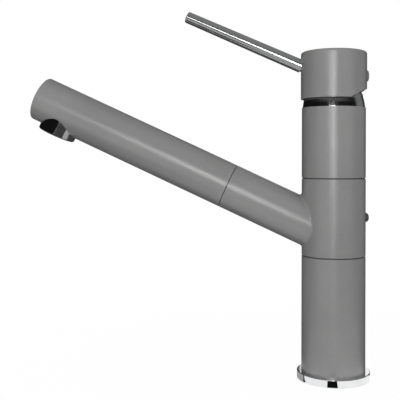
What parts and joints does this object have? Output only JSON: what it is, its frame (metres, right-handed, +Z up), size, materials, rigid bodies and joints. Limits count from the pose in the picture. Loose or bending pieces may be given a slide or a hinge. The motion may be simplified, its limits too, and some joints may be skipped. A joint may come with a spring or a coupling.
{
  "type": "pull-out mixer tap",
  "caption": "Single-lever kitchen mixer tap: round column, rising swivel spout whose end pulls out on a hose, slim rod lever on a tilting cap, painted grey with chrome trim.",
  "frame": {"origin": "centre of the foot's underside, on the column's axis, where the tap stands on the worktop", "axes": "+Z up the column, -X along the spout and the lever at rest, +Y to the hot side"},
  "size_m": [0.2524, 0.0524, 0.2679],
  "materials": {
    "grey_paint": "semi-matt, finely granular",
    "chrome_plate": "polished",
    "cast_brass": "machined",
    "steel": "bright",
    "dark_plastic": "moulded",
    "white_plastic": "moulded",
    "seal_rubber": "matt",
    "ceramic": "lapped",
    "hose_braid": "braided"
  },
  "bodies": {
    "column": {"base_ring": "chrome_plate", "base_seal": "seal_rubber", "lower_body": "grey_paint", "spine": "cast_brass", "upper_body": "grey_paint", "cartridge_base": "white_plastic", "cartridge_seals": "seal_rubber", "fixed_disc": "ceramic", "cartridge_housing": "white_plastic", "cartridge_nut": "cast_brass", "dome_cover": "chrome_plate"},
    "spout": {"swivel_body": "grey_paint", "lower_swivel_bush": "dark_plastic", "upper_swivel_bush": "dark_plastic", "stop_screw": "steel", "dock_bush": "dark_plastic"},
    "handset": {"handset_shell": "grey_paint", "waterway_insert": "white_plastic", "handset_tail": "dark_plastic", "waterway_ring": "seal_rubber", "check_valve_body": "white_plastic", "check_valve_spring": "steel", "hose_connector": "chrome_plate", "hose_washer": "seal_rubber", "pullout_hose": "hose_braid", "aerator_housing": "chrome_plate", "aerator_insert": "white_plastic", "aerator_gasket": "seal_rubber"},
    "check_valve": {"check_valve_poppet": "dark_plastic"},
    "rotor": {"cartridge_rotor": "dark_plastic", "pivot_pin": "steel"},
    "mixing_disc": {"moving_disc": "ceramic", "disc_carrier": "white_plastic"},
    "lever": {"spindle": "cast_brass", "handle_cap": "grey_paint", "lever_rod": "chrome_plate", "grub_screw": "steel", "index_plug": "grey_paint"}
  },
  "joints": [
    {"name": "spout_swivel", "type": "hinge", "parent": "column", "child": "spout", "pos_m": [0, 0, 0.116], "axis": [0, 0, 1], "range_deg": [-60, 60]},
    {"name": "handset_pull_out", "type": "slide", "parent": "spout", "child": "handset", "axis": [-0.9085, 0, 0.4179], "range_m": [0, 0.4], "deforming": ["pullout_hose"]},
    {"name": "check_valve_open", "type": "slide", "parent": "handset", "child": "check_valve", "axis": [-0.9085, 0, 0.4179], "range_m": [0, 0.0025], "stiffness_N_per_m": 200, "springref_m": -0.004, "deforming": ["check_valve_spring"]},
    {"name": "lever_turn", "type": "hinge", "parent": "column", "child": "rotor", "pos_m": [0, 0, 0.199], "axis": [0, 0, 1], "range_deg": [-45, 45]},
    {"name": "lever_lift", "type": "hinge", "parent": "rotor", "child": "lever", "pos_m": [0, 0, 0.199], "axis": [0, 1, 0], "range_deg": [0, 25]},
    {"name": "disc_slide", "type": "slide", "parent": "rotor", "child": "mixing_disc", "axis": [-1, 0, 0], "range_m": [0, 0.0043]}
  ],
  "couplings": [
    {"joint": "disc_slide", "follows": "lever_lift", "m_per_rad": 0.00985}
  ]
}
